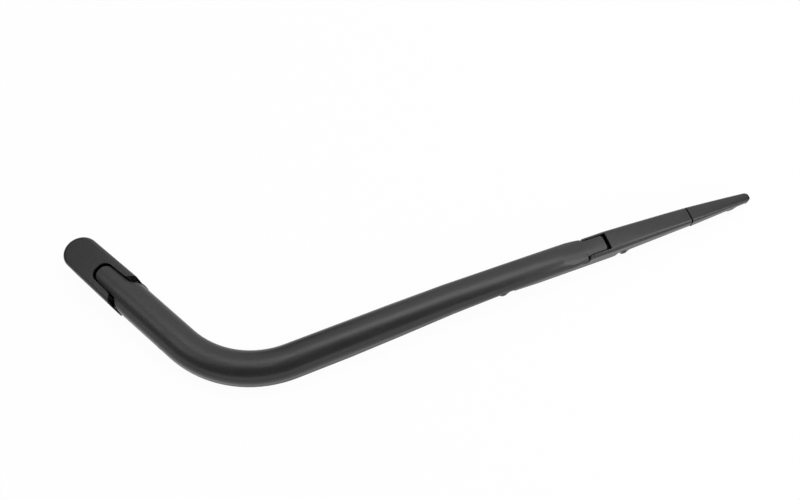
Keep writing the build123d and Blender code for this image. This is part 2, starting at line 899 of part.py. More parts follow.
# Rubber element with its lip, and the two steel strips in its grooves
rubber_half = blade_half - 1.5
groove_bottom = strip_z - strip_thick / 2 - 0.025
groove_top = strip_z + strip_thick / 2 + 0.025
far_side = [
    (rubber_head, rubber_top),
    (rubber_head, groove_top),
    (rubber_web, groove_top),
    (rubber_web, groove_bottom),
    (rubber_head, groove_bottom),
    (rubber_head, slot_bottom + 0.1),
    (rubber_neck, slot_bottom + 0.1),
    (rubber_neck, claw_bottom - 0.1),
    (rubber_wing, claw_bottom - 0.5),
    (rubber_wing, claw_bottom - 1.1),
    (1.0, 0.2),
    (lip_half, lip_z),
]
near_side = [(-y, z) for y, z in reversed(far_side)]
with BuildPart() as wiper_rubber:
    with BuildSketch(across(pivot_x, pivot_y, 0)):
        with BuildLine():
            Polyline(*far_side, *near_side, close=True)
        make_face()
    extrude(amount=rubber_half, both=True)
wiper_rubber.part.label = "wiper_rubber"
export_step(wiper_rubber.part, "parts/wiper_rubber.step")

strip_y = rubber_web + strip_wide / 2 + 0.02
with BuildPart() as flexor_far:
    with BuildSketch(across(pivot_x, pivot_y, 0)):
        with Locations((strip_y, strip_z)):
            Rectangle(strip_wide, strip_thick)
    extrude(amount=rubber_half - 1.5, both=True)
flexor_far.part.label = "flexor_far"
export_step(flexor_far.part, "parts/flexor_far.step")

with BuildPart() as flexor_near:
    with BuildSketch(across(pivot_x, pivot_y, 0)):
        with Locations((-strip_y, strip_z)):
            Rectangle(strip_wide, strip_thick)
    extrude(amount=rubber_half - 1.5, both=True)
flexor_near.part.label = "flexor_near"
export_step(flexor_near.part, "parts/flexor_near.step")
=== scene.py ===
# %% [markdown]
# This lesson dresses a bent rear wiper arm with its blade. The solid model is already made, so it
# is loaded first as a fixed frame. Everything after this only adds to it: rounder skins over the
# moulded pieces, a round spring wire, a rubber cut into halves, finishes and a studio. Nothing that
# was loaded is moved, so the arm, the cover and the blade can still swing.

# %% Load the frame
import json
import math

import bpy
from mathutils import Matrix, Vector

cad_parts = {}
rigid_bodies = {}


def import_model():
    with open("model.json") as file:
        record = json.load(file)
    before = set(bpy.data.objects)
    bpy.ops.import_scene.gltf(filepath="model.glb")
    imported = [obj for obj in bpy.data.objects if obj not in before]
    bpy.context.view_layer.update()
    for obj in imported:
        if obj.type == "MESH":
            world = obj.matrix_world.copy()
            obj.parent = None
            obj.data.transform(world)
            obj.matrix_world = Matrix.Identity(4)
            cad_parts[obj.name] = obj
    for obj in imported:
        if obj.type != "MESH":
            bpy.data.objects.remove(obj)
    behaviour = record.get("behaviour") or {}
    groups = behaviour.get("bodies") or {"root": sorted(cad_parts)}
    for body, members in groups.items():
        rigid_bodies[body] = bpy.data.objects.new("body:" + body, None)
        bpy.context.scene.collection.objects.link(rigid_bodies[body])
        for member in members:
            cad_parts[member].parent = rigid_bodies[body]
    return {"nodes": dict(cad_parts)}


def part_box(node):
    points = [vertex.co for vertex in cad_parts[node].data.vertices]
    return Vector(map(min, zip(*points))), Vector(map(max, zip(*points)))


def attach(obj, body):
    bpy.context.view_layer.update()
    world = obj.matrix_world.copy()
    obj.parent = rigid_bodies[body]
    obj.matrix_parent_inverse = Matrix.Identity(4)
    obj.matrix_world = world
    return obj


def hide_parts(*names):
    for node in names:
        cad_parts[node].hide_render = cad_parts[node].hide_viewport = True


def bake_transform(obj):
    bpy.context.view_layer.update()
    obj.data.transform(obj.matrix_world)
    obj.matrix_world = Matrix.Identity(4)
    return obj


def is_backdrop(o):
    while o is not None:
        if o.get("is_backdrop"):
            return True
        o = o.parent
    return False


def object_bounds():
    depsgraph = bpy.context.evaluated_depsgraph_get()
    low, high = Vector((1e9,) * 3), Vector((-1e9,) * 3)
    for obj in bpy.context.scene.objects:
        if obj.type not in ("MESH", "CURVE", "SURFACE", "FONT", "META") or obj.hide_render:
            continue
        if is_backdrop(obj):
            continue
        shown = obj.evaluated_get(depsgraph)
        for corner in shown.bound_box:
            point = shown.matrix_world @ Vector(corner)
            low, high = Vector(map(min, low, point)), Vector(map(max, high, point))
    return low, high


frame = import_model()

nodes = frame["nodes"]
solid_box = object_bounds()


def in_mm(lengths):
    """Lengths in metres as rounded millimetres, for printing."""
    return [round(1000 * length, 1) for length in lengths]


print("pieces in the frame:", len(nodes))
print("box of the solids in mm:", in_mm(c for corner in solid_box for c in corner))

# %% [markdown]
# A moulded plastic piece never has a knife edge, because the mould's own edges are rounded. The
# solid could be drawn again by hand, but a copy of it keeps the checked shape exactly. The copy's
# loose triangles are merged, flat areas become single faces, and then the sharp edges get a small
# bevel. The middle line of each bevel is remembered in an attribute called rub, because that is
# where hands and cloths polish the real piece.

# %% Helpers for rounded copies
join_distance = 0.00004
flat_angle = math.radians(0.4)
sharp_angle = math.radians(36)
bevel_steps = 2


def pick_only(piece):
    """Deselects everything and makes one piece the active one."""
    bpy.ops.object.select_all(action="DESELECT")
    bpy.context.view_layer.objects.active = piece
    piece.select_set(True)


def merged_copy(node_name, piece_name):
    """A copy of a solid's mesh with its triangles joined up and its flat areas made whole."""
    piece = bpy.data.objects.new(piece_name, nodes[node_name].data.copy())
    bpy.context.collection.objects.link(piece)
    pick_only(piece)
    bpy.ops.mesh.customdata_custom_splitnormals_clear()
    bpy.ops.object.mode_set(mode="EDIT")
    bpy.ops.mesh.select_all(action="SELECT")
    bpy.ops.mesh.mark_sharp(clear=True)
    bpy.ops.mesh.remove_doubles(threshold=join_distance)
    bpy.ops.mesh.dissolve_limited(angle_limit=flat_angle)
    bpy.ops.object.mode_set(mode="OBJECT")
    return piece


def round_edges(piece, radius):
    """Bevels the sharp edges and writes the rub attribute along the middle of each bevel."""
    pick_only(piece)
    bpy.ops.object.mode_set(mode="EDIT")
    bpy.ops.mesh.select_mode(type="EDGE")
    bpy.ops.mesh.select_all(action="DESELECT")
    bpy.ops.mesh.edges_select_sharp(sharpness=sharp_angle)
    bpy.ops.mesh.bevel(offset=radius, segments=bevel_steps, profile=0.5, clamp_overlap=True)
    bpy.ops.mesh.select_mode(type="VERT")
    bpy.ops.mesh.select_less()
    bpy.ops.object.mode_set(mode="OBJECT")
    rubbed = [1.0 if vertex.select else 0.0 for vertex in piece.data.vertices]
    rub = piece.data.attributes.new("rub", "FLOAT", "POINT")
    rub.data.foreach_set("value", rubbed)
    return int(sum(rubbed))


def smooth_skin(piece, angle=40):
    """Smooth shading that stays flat on flat faces."""
    pick_only(piece)
    bpy.ops.object.shade_smooth_by_angle(angle=math.radians(angle))
    even = piece.modifiers.new("even_shading", "WEIGHTED_NORMAL")
    even.mode = "FACE_AREA"
    even.weight = 80
    even.keep_sharp = True
    bpy.ops.object.modifier_apply(modifier=even.name)


# %% [markdown]
# The arm's tip dives between two rails of the blade and ends as a tongue in a window. In the photo
# it stays nearly as wide as the rails until it dives, and only a thin slit is left beside the
# tongue. The solid tapers earlier and its tongue is rounder, so the copy gets cross cuts, its half
# width is measured at each cut, and every point is moved sideways until the outline is right. The
# tongue's edges are then lifted level with the rails. The slit that is left is about half a
# millimetre.

# %% Arm with a full width tip
cut_tolerance = 1e-7
on_cut = 2e-5
blade_way = Vector((1, 0, 0))


def centre_of(node_name):
    """The middle of a node's box."""
    low, high = (Vector(corner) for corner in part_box(node_name))
    return (low + high) / 2


def cut_across(piece, points, way):
    """Cuts a piece at points, square to a direction."""
    pick_only(piece)
    bpy.ops.object.mode_set(mode="EDIT")
    for point in points:
        bpy.ops.mesh.select_all(action="SELECT")
        bpy.ops.mesh.bisect(plane_co=point, plane_no=way, threshold=cut_tolerance)
    bpy.ops.object.mode_set(mode="OBJECT")


def most_at_cuts(piece, distances, measure):
    """The largest measure of the points on each cut, as pairs of distance and value."""
    points = [vertex.co for vertex in piece.data.vertices]
    return [
        (distance, max(measure(co) for co in points if abs(co.x - middle.x - distance) < on_cut))
        for distance in distances
    ]


def read_off(pairs, where):
    """Reads a value off the line drawn through pairs of distance and value."""
    for (low, value), (high, next_value) in zip(pairs, pairs[1:]):
        if where <= high:
            share = max(0.0, (where - low) / (high - low))
            return value + (next_value - value) * share
    return pairs[-1][1]


middle = centre_of("blade_pin")
# distance from the blade's pin, half width of the arm there
tip_outline = (
    (0.006, 0.0113),
    (0.012, 0.0107),
    (0.015, 0.0102),
    (0.018, 0.0097),
    (0.0185, 0.00705),
    (0.032, 0.0067),
)
# distance from the blade's pin, lift of the arm's edges there
edge_lift = ((0.018, 0.0), (0.0185, 0.0016), (0.04, 0.0016))
# a cut at every millimetre up to the dive, close cuts in it and wider ones along the tongue
tip_cuts = [0.001 * k for k in range(6, 17)]
tip_cuts += [0.0167, 0.0174, 0.018, 0.01825, 0.0185, 0.0192]
tip_cuts += [0.0205, 0.022, 0.025, 0.028, 0.032]

arm = merged_copy("arm", "arm_skin")
cut_across(arm, [middle + blade_way * distance for distance in tip_cuts], blade_way)
drawn_width = most_at_cuts(arm, tip_cuts, lambda co: abs(co.y - middle.y))
for vertex in arm.data.vertices:
    distance = vertex.co.x - middle.x
    if distance > tip_cuts[0]:
        half_width = read_off(tip_outline, distance)
        widen = half_width / read_off(drawn_width, distance)
        vertex.co.y = middle.y + (vertex.co.y - middle.y) * widen
        out = abs(vertex.co.y - middle.y) / half_width
        vertex.co.z += read_off(edge_lift, distance) * out * out
print("half widths of the solid in mm:", in_mm(width for _, width in drawn_width[::3]))

# %% [markdown]
# The rails begin beside the tongue with a slope. In the photo their fronts stand up more steeply,
# right behind the arm's wide part, so the copy of the bridge is cut across there too and its upper
# part is stretched. The stretch starts late enough for the blade to rock without touching the arm.

# %% Bridge with steep rail fronts
# distance from the blade's pin, height of the rails above the pin
rail_front = ((0.01955, 0.0035), (0.0202, 0.0082), (0.0215, 0.0086), (0.0245, 0.0088))
rail_cuts = [0.01955, 0.01988, 0.0202, 0.0215, 0.0228, 0.0245]
still_height = 0.0005

bridge = merged_copy("blade_bridge", "bridge_skin")
cut_across(bridge, [middle + blade_way * distance for distance in rail_cuts], blade_way)
drawn_top = most_at_cuts(bridge, rail_cuts, lambda co: co.z - middle.z)
still_z = middle.z + still_height
for vertex in bridge.data.vertices:
    distance = vertex.co.x - middle.x
    if rail_cuts[0] < distance < rail_cuts[-1] and vertex.co.z > still_z:
        drawn = read_off(drawn_top, distance)
        wanted = max(read_off(rail_front, distance), drawn)
        stretch = (wanted - still_height) / (drawn - still_height)
        vertex.co.z = still_z + (vertex.co.z - still_z) * stretch
print("rail tops of the solid in mm:", in_mm(top for _, top in drawn_top))

# %% [markdown]
# Behind the seam the outer yoke follows on flush. The photo's seam is a clear dark line, so the
# copy of the bridge ends a little sooner than the solid, which leaves a groove of about a
# millimetre.

# %% Bridge with a clear seam
seam_shift = 0.0004
end_depth = 0.0002
seam = max(vertex.co.x for vertex in bridge.data.vertices)
end_points = [vertex for vertex in bridge.data.vertices if seam - vertex.co.x < end_depth]
for vertex in end_points:
    vertex.co.x -= seam_shift
print("seam in mm from the pin:", in_mm([seam - middle.x]), "points moved", len(end_points))

# %% [markdown]
# The head is a tray under the cover. In the photo the gaps between the two are black, but the white
# paper would shine up through a gap of two tenths of a millimetre. The copy's rim is therefore
# moved out until it nearly meets the cover, and behind the cover it widens into the cheeks. The
# cover swings about a line across the arm, so nothing moves sideways and the rim stays clear.

# %% Head with a close rim
leg_angle = math.radians(-60.3)
leg_way = Vector((math.cos(leg_angle), math.sin(leg_angle), 0))
across_way = Vector((-leg_way.y, leg_way.x, 0))
tray_depth = 0.0021
rim_inside, rim_outside, rim_end = 0.0122, 0.0131, 0.0499
# distance along the leg from the spindle, how far the rim moves out there
rim_moves = ((0.024, 0.0), (0.030, 0.0001), (0.0468, 0.0001), (0.0488, 0.0012), (0.0498, 0.0012))

head = merged_copy("pivot_head", "head_skin")
cut_across(head, [leg_way * distance for distance, _ in rim_moves[:-1]], leg_way)
tray_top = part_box("pivot_head")[0][2] + tray_depth
moved = 0
for vertex in head.data.vertices:
    distance = vertex.co.dot(leg_way)
    sideways = vertex.co.dot(across_way)
    on_rim = rim_inside < abs(sideways) < rim_outside and vertex.co.z < tray_top
    if on_rim and rim_moves[0][0] < distance < rim_end:
        vertex.co += across_way * math.copysign(read_off(rim_moves, distance), sideways)
        moved += 1
print("points moved on the head's rim:", moved)

# %% [markdown]
# The plastic pieces are the arm, the head under its cover, the cover, the blade's bridge, its two
# yokes and the small clip inside the arm's tip. Each is one moulding, so each stays one piece. The
# three that were reshaped are used as they are, and the others are copied now.

# %% Moulded plastic pieces
reshaped = {"arm": arm, "pivot_head": head, "blade_bridge": bridge}
# node: piece, body that carries it, radius of its edges
moulded = {
    "arm": ("arm_skin", "swing_arm", 0.00030),
    "head_cover": ("cover_skin", "cover", 0.00025),
    "pivot_head": ("head_skin", "head", 0.00020),
    "blade_bridge": ("bridge_skin", "blade", 0.00025),
    "outer_yoke": ("outer_yoke_skin", "outer_claws", 0.00020),
    "inner_yoke": ("inner_yoke_skin", "inner_claws", 0.00020),
    "pivot_clip": ("clip_skin", "swing_arm", 0.00020),
}
plastic = {}
for node_name, (piece_name, body, radius) in moulded.items():
    piece = reshaped.get(node_name) or merged_copy(node_name, piece_name)
    rubbed = round_edges(piece, radius)
    smooth_skin(piece)
    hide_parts(node_name)
    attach(piece, body)
    plastic[node_name] = piece
    print(piece_name, "faces", len(piece.data.polygons), "rubbed points", rubbed)

# %% [markdown]
# The pins are cut from drawn steel bar. A cutter leaves a bright chamfer on each end, which a bevel
# on the end circles gives.

# %% Steel pins
pin_chamfer = 0.00025
pin_bodies = {
    "hinge_pin": "head",
    "spring_anchor": "head",
    "spring_post": "swing_arm",
    "blade_pin": "blade",
    "outer_yoke_pin": "blade",
    "inner_yoke_pin": "blade",
}
pins = {}
for node_name, body in pin_bodies.items():
    piece = merged_copy(node_name, node_name + "_turned")
    round_edges(piece, pin_chamfer)
    smooth_skin(piece, 30)
    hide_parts(node_name)
    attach(piece, body)
    pins[node_name] = piece
    print(piece.name, "faces", len(piece.data.polygons))

# %% [markdown]
# The rubber and its two steel strips run the whole length of the blade; on the real blade they bend
# with the claws that hold them. Each is cut at the blade's middle into two halves and cut across
# every two millimetres, but the halves are not given to the claws and stay where they lie.

# %% Rubber and strips in halves
flex_start = 0.008
flex_end = 0.048
cut_pitch = 0.002
flex_cuts = round((flex_end - flex_start) / cut_pitch) + 1


def half_of(node_name, side):
    """One half of a long strip, with cross cuts where it bends."""
    end = "outer" if side > 0 else "inner"
    piece = merged_copy(node_name, f"{node_name}_{end}_half")
    bpy.ops.object.mode_set(mode="EDIT")
    bpy.ops.mesh.select_all(action="SELECT")
    bpy.ops.mesh.bisect(
        plane_co=middle,
        plane_no=blade_way * side,
        use_fill=True,
        clear_inner=True,
        threshold=cut_tolerance,
    )
    bpy.ops.object.mode_set(mode="OBJECT")
    reaches = [flex_start + cut_pitch * step for step in range(flex_cuts)]
    cut_across(piece, [middle + blade_way * side * reach for reach in reaches], blade_way)
    bpy.ops.object.mode_set(mode="EDIT")
    bpy.ops.mesh.select_all(action="SELECT")
    bpy.ops.mesh.normals_make_consistent(inside=False)
    bpy.ops.object.mode_set(mode="OBJECT")
    return piece


strips = {}
for node_name in ("wiper_rubber", "flexor_near", "flexor_far"):
    for side, body in ((1, "outer_claws"), (-1, "inner_claws")):
        piece = half_of(node_name, side)
        smooth_skin(piece, 30)
        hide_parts(node_name)
        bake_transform(piece)
        strips[piece.name] = piece
        print(piece.name, "faces", len(piece.data.polygons))

# %% [markdown]
# The tension spring pulls the arm on to the glass. It is wound from round wire on a rod, so the
# wire's own circle is drawn beside an axis and swept round and up by the Screw modifier, one step
# for each turn. It is made standing up at the origin, because bends are easy to state there.

# %% Spring coil
anchor = centre_of("spring_anchor")
post = centre_of("spring_post")
wire_radius = 0.00065
wire_sides = 10
coil_radius = 0.0033
coil_turns = 16
coil_steps = 24
hook_run = 0.011
coil_length = (post - anchor).length - 2 * hook_run
quarter_turn = math.pi / 2


def wire_end(name):
    """A circle as thick as the wire, where the coil begins."""
    bpy.ops.object.select_all(action="DESELECT")
    bpy.ops.mesh.primitive_circle_add(
        vertices=wire_sides,
        radius=wire_radius,
        location=(coil_radius, 0, 0),
        rotation=(quarter_turn, 0, 0),
    )
    bpy.context.object.name = name
    bpy.ops.object.transform_apply(location=True, rotation=True, scale=True)
    return bpy.context.object


spring = wire_end("spring_wire")
turns = spring.modifiers.new("turns", "SCREW")
turns.axis = "Z"
turns.angle = 2 * math.pi
turns.screw_offset = coil_length / coil_turns
turns.iterations = coil_turns
turns.steps = coil_steps
turns.render_steps = coil_steps
bpy.ops.object.modifier_apply(modifier=turns.name)
print("coil length in mm:", in_mm([coil_length]), "faces", len(spring.data.polygons))

# %% [markdown]
# At each end the wire is bent three times, as a bending tool does it: in towards the axis, then out
# along it, then round the pin. Each bend is one spin of the wire's end circle about its own centre,
# and the straight run is one extrude.

# %% Spring hooks
anchor_radius = 0.0014
post_radius = 0.0018
hook_clearance = 0.00005
hook_wrap = math.radians(255)


def bent_hook(name, pin_radius):
    """The wire from the start of the coil to a loop around a pin."""
    loop = pin_radius + wire_radius + hook_clearance
    inward = coil_radius - loop
    hook = wire_end(name)
    bpy.ops.object.mode_set(mode="EDIT")
    bpy.ops.mesh.select_all(action="SELECT")
    bpy.ops.mesh.spin(steps=6, angle=-quarter_turn, center=(inward, 0, 0), axis=(0, 0, 1))
    bpy.ops.mesh.spin(steps=5, angle=-quarter_turn, center=(inward, -loop, -inward), axis=(0, 1, 0))
    bpy.ops.mesh.extrude_region_move(TRANSFORM_OT_translate={"value": (0, 0, inward - hook_run)})
    bpy.ops.mesh.spin(steps=18, angle=hook_wrap, center=(0, 0, -hook_run), axis=(1, 0, 0))
    bpy.ops.object.mode_set(mode="OBJECT")
    return hook


anchor_hook = bent_hook("anchor_hook", anchor_radius)
post_hook = bent_hook("post_hook", post_radius)
pick_only(post_hook)
bpy.ops.object.mode_set(mode="EDIT")
bpy.ops.mesh.select_all(action="SELECT")
bpy.ops.transform.rotate(value=math.pi, orient_axis="X", center_override=(0, 0, coil_length / 2))
bpy.ops.object.mode_set(mode="OBJECT")
for hook in (anchor_hook, post_hook):
    heights = [vertex.co.z for vertex in hook.data.vertices]
    print(hook.name, "from and to in mm:", in_mm([min(heights), max(heights)]))

# %% [markdown]
# The coil and its hooks are one length of wire, so they are joined and their matching circles
# merged. The spring is then laid along the line from the anchor pin to the post, with a hook round
# each. It stays where it is laid and follows neither the head nor the arm.

# %% Spring in its place
weld_distance = 1e-5
pick_only(spring)
anchor_hook.select_set(True)
post_hook.select_set(True)
bpy.ops.object.join()
bpy.ops.object.mode_set(mode="EDIT")
bpy.ops.mesh.select_all(action="SELECT")
bpy.ops.mesh.remove_doubles(threshold=weld_distance)
bpy.ops.mesh.fill_holes(sides=0)
bpy.ops.mesh.select_all(action="SELECT")
bpy.ops.mesh.normals_make_consistent(inside=False)
bpy.ops.object.mode_set(mode="OBJECT")
pull = (post - anchor).normalized()
spring.rotation_euler = pull.to_track_quat("Z", "Y").to_euler()
spring.location = anchor + pull * hook_run
bpy.ops.object.transform_apply(location=True, rotation=True, scale=True)
smooth_skin(spring, 60)
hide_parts("tension_spring")
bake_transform(spring)
print("spring faces", len(spring.data.polygons))

# %% [markdown]
# Four small effects are shared by several finishes, so each is a node group with named sockets. The
# first is grain, the fine etched texture that a mould leaves: round pebbles with a little noise
# added.

# %% Etched grain


def new_group(name, inputs, outputs):
    """An empty shader group with named sockets, and its two end nodes."""
    group = bpy.data.node_groups.new(name, "ShaderNodeTree")
    for socket, value in inputs.items():
        made = group.interface.new_socket(socket, in_out="INPUT", socket_type="NodeSocketFloat")
        made.default_value = value
    for socket in outputs:
        group.interface.new_socket(socket, in_out="OUTPUT", socket_type="NodeSocketFloat")
    return group, group.nodes.new("NodeGroupInput"), group.nodes.new("NodeGroupOutput")


def add_node(tree, kind, **values):
    """A node with its settings and unlinked sockets filled in."""
    node = tree.nodes.new(kind)
    for key, value in values.items():
        if key in node.inputs:
            node.inputs[key].default_value = value
        else:
            setattr(node, key, value)
    return node


pebble_height = 0.6
grain, given, result = new_group("mould_grain", {"Scale": 2600.0}, ["Height"])
place = add_node(grain, "ShaderNodeTexCoord")
pebble = add_node(grain, "ShaderNodeTexVoronoi", feature="SMOOTH_F1", Smoothness=0.6)
speck = add_node(grain, "ShaderNodeTexNoise", Detail=3.0, Roughness=0.6)
for pattern in (pebble, speck):
    grain.links.new(place.outputs["Object"], pattern.inputs["Vector"])
    grain.links.new(given.outputs["Scale"], pattern.inputs["Scale"])
total = add_node(grain, "ShaderNodeMath", operation="MULTIPLY_ADD")
total.inputs[1].default_value = pebble_height
grain.links.new(pebble.outputs["Distance"], total.inputs[0])
grain.links.new(speck.outputs["Fac"], total.inputs[2])
grain.links.new(total.outputs[0], result.inputs["Height"])
print("group:", grain.name, "nodes", len(grain.nodes))

# %% [markdown]
# Handling leaves soft marks. Tone is a slow cloud that shifts the colour a little, and Smear is a
# finer, longer pattern, as a cloth drawn along a surface leaves, which changes only the sheen.

# %% Handling marks


def stretched(tree, value, low, high):
    """Spreads the part of a value from low to high over 0 to 1."""
    node = add_node(tree, "ShaderNodeMapRange")
    tree.links.new(value, node.inputs["Value"])
    node.inputs["From Min"].default_value = low
    node.inputs["From Max"].default_value = high
    return node.outputs["Result"]


marks, given, result = new_group("handling_marks", {"Scale": 60.0}, ["Tone", "Smear"])
place = add_node(marks, "ShaderNodeTexCoord")
cloud = add_node(marks, "ShaderNodeTexNoise", Detail=5.0, Roughness=0.55, Distortion=0.6)
wiped = add_node(marks, "ShaderNodeMapping", Scale=(1.0, 4.0, 2.0))
smear = add_node(marks, "ShaderNodeTexNoise", Detail=6.0, Roughness=0.65)
marks.links.new(place.outputs["Object"], cloud.inputs["Vector"])
marks.links.new(place.outputs["Object"], wiped.inputs["Vector"])
marks.links.new(wiped.outputs["Vector"], smear.inputs["Vector"])
for pattern in (cloud, smear):
    marks.links.new(given.outputs["Scale"], pattern.inputs["Scale"])
marks.links.new(cloud.outputs["Fac"], result.inputs["Tone"])
marks.links.new(stretched(marks, smear.outputs["Fac"], 0.35, 0.75), result.inputs["Smear"])
print("group:", marks.name, "nodes", len(marks.nodes))

# %% [markdown]
# Dust settles only on what faces up, as sparse flecks that gather in drifts. The surface's own
# normal gives the first, a fine noise cut high gives the flecks, and a slow noise gives the drifts.

# %% Settled dust


def product(tree, first, second):
    """Two values multiplied."""
    node = add_node(tree, "ShaderNodeMath", operation="MULTIPLY")
    tree.links.new(first, node.inputs[0])
    tree.links.new(second, node.inputs[1])
    return node.outputs[0]


dust, given, result = new_group("settled_dust", {"Amount": 0.1}, ["Mask"])
place = add_node(dust, "ShaderNodeTexCoord")
facing = add_node(dust, "ShaderNodeSeparateXYZ")
fleck = add_node(dust, "ShaderNodeTexNoise", Scale=1400.0, Detail=4.0, Roughness=0.7)
drift = add_node(dust, "ShaderNodeTexNoise", Scale=45.0, Detail=3.0)
dust.links.new(place.outputs["Normal"], facing.inputs["Vector"])
dust.links.new(place.outputs["Object"], fleck.inputs["Vector"])
dust.links.new(place.outputs["Object"], drift.inputs["Vector"])
flecks = stretched(dust, fleck.outputs["Fac"], 0.56, 0.8)
lying = product(dust, flecks, stretched(dust, facing.outputs["Z"], 0.2, 1.0))
drifted = product(dust, lying, drift.outputs["Fac"])
dust.links.new(product(dust, drifted, given.outputs["Amount"]), result.inputs["Mask"])
print("group:", dust.name, "nodes", len(dust.nodes))

# %% [markdown]
# Edges are rubbed where hands and cloths pass over them. The bevels wrote where those edges are,
# and a noise makes the wear patchy, because no edge wears evenly.

# %% Rubbed edges
wear, given, result = new_group("rubbed_edges", {"Amount": 0.5}, ["Mask"])
place = add_node(wear, "ShaderNodeTexCoord")
edges = add_node(wear, "ShaderNodeAttribute", attribute_name="rub")
patches = add_node(wear, "ShaderNodeTexNoise", Scale=220.0, Detail=4.0)
wear.links.new(place.outputs["Object"], patches.inputs["Vector"])
worn = product(wear, edges.outputs["Fac"], patches.outputs["Fac"])
wear.links.new(product(wear, worn, given.outputs["Amount"]), result.inputs["Mask"])
print("group:", wear.name, "nodes", len(wear.nodes))

# %% [markdown]
# The arm, cover and blade are moulded from dark grey filled plastic with a satin surface. Its
# colour is nearly even, so the interest is in the sheen: a fine etched grain breaks the highlight
# up, smears make it a little smoother in places, and edges and dust lift the grey slightly. The
# head under the cover and the clip in the arm's tip are black, because the photo shows black in
# every gap there.

# %% Plastic finishes
dust_colour = (0.30, 0.29, 0.27)
rubbed_lift = 3.0
rubbed_amount = 0.55
plastic_ior = 1.49


def new_finish(name):
    """A material with only an output and a Principled shader."""
    finish = bpy.data.materials.new(name)
    finish.use_nodes = True
    tree = finish.node_tree
    tree.nodes.clear()
    out = tree.nodes.new("ShaderNodeOutputMaterial")
    shader = tree.nodes.new("ShaderNodeBsdfPrincipled")
    tree.links.new(shader.outputs["BSDF"], out.inputs["Surface"])
    return finish, tree, shader


def use_group(tree, group, **values):
    """A group placed in a material with its own values."""
    return add_node(tree, "ShaderNodeGroup", node_tree=group, **values)


def mixed(tree, factor, first, second):
    """A colour mix; each colour is a link or a plain colour."""
    node = add_node(tree, "ShaderNodeMix", data_type="RGBA")
    tree.links.new(factor, node.inputs["Factor"])
    colour_inputs = [socket for socket in node.inputs if socket.type == "RGBA"]
    for socket, colour in zip(colour_inputs, (first, second)):
        if isinstance(colour, bpy.types.NodeSocket):
            tree.links.new(colour, socket)
        else:
            socket.default_value = (*colour, 1.0)
    return next(socket for socket in node.outputs if socket.type == "RGBA")


def ranged(tree, value, low, high):
    """A value from 0 to 1 stretched between two others."""
    node = add_node(tree, "ShaderNodeMapRange")
    tree.links.new(value, node.inputs["Value"])
    node.inputs["To Min"].default_value = low
    node.inputs["To Max"].default_value = high
    return node.outputs["Result"]


def raise_bumps(tree, shader, height, strength, depth):
    """Lets a height pattern tilt the surface a little."""
    bump = add_node(tree, "ShaderNodeBump", Strength=strength, Distance=depth)
    tree.links.new(height, bump.inputs["Height"])
    tree.links.new(bump.outputs["Normal"], shader.inputs["Normal"])


def plastic_finish(name, dark, light, smooth, rough, grain_scale, grain_depth, dust_amount):
    """A moulded plastic: grey from dark to light, sheen from smooth to rough, etched grain."""
    finish, tree, shader = new_finish(name)
    handled = use_group(tree, marks, Scale=38.0)
    settled = use_group(tree, dust, Amount=dust_amount)
    rubbed = use_group(tree, wear, Amount=rubbed_amount)
    etched = use_group(tree, grain, Scale=grain_scale)
    colour = mixed(tree, handled.outputs["Tone"], dark, light)
    rubbed_colour = tuple(rubbed_lift * c for c in light)
    colour = mixed(tree, rubbed.outputs["Mask"], colour, rubbed_colour)
    colour = mixed(tree, settled.outputs["Mask"], colour, dust_colour)
    sheen = ranged(tree, handled.outputs["Smear"], smooth, rough)
    tree.links.new(colour, shader.inputs["Base Color"])
    tree.links.new(sheen, shader.inputs["Roughness"])
    raise_bumps(tree, shader, etched.outputs["Height"], strength=0.35, depth=grain_depth)
    shader.inputs["IOR"].default_value = plastic_ior
    return finish


satin_grey = plastic_finish(
    "satin_grey_plastic",
    dark=(0.0115, 0.0115, 0.0118),
    light=(0.0150, 0.0150, 0.0154),
    smooth=0.31,
    rough=0.38,
    grain_scale=2600.0,
    grain_depth=0.00006,
    dust_amount=0.4,
)
matt_black = plastic_finish(
    "matt_black_plastic",
    dark=(0.010, 0.010, 0.011),
    light=(0.018, 0.018, 0.018),
    smooth=0.48,
    rough=0.62,
    grain_scale=3400.0,
    grain_depth=0.00005,
    dust_amount=0.3,
)
print("finishes:", satin_grey.name, matt_black.name)

# %% [markdown]
# Steel comes in three forms here: turned pins, rolled strips beside the rubber, and oiled spring
# wire. The rubber is black with a dull graphite coat. Each gets fine lines or speckle at its own
# scale, so that none of them is one flat colour.

# %% Steel and rubber finishes


def steel_finish(name, dark, light, smooth, rough, lines):
    """Bare or oiled steel with fine lines; lines stretches the pattern along each direction."""
    finish, tree, shader = new_finish(name)
    place = add_node(tree, "ShaderNodeTexCoord")
    stretch = add_node(tree, "ShaderNodeMapping", Scale=lines)
    drawn = add_node(tree, "ShaderNodeTexNoise", Scale=1.0, Detail=5.0, Roughness=0.6)
    handled = use_group(tree, marks, Scale=180.0)
    tree.links.new(place.outputs["Object"], stretch.inputs["Vector"])
    tree.links.new(stretch.outputs["Vector"], drawn.inputs["Vector"])
    colour = mixed(tree, drawn.outputs["Fac"], dark, light)
    sheen = ranged(tree, handled.outputs["Smear"], smooth, rough)
    tree.links.new(colour, shader.inputs["Base Color"])
    tree.links.new(sheen, shader.inputs["Roughness"])
    raise_bumps(tree, shader, drawn.outputs["Fac"], strength=0.25, depth=0.00002)
    shader.inputs["Metallic"].default_value = 1.0
    return finish


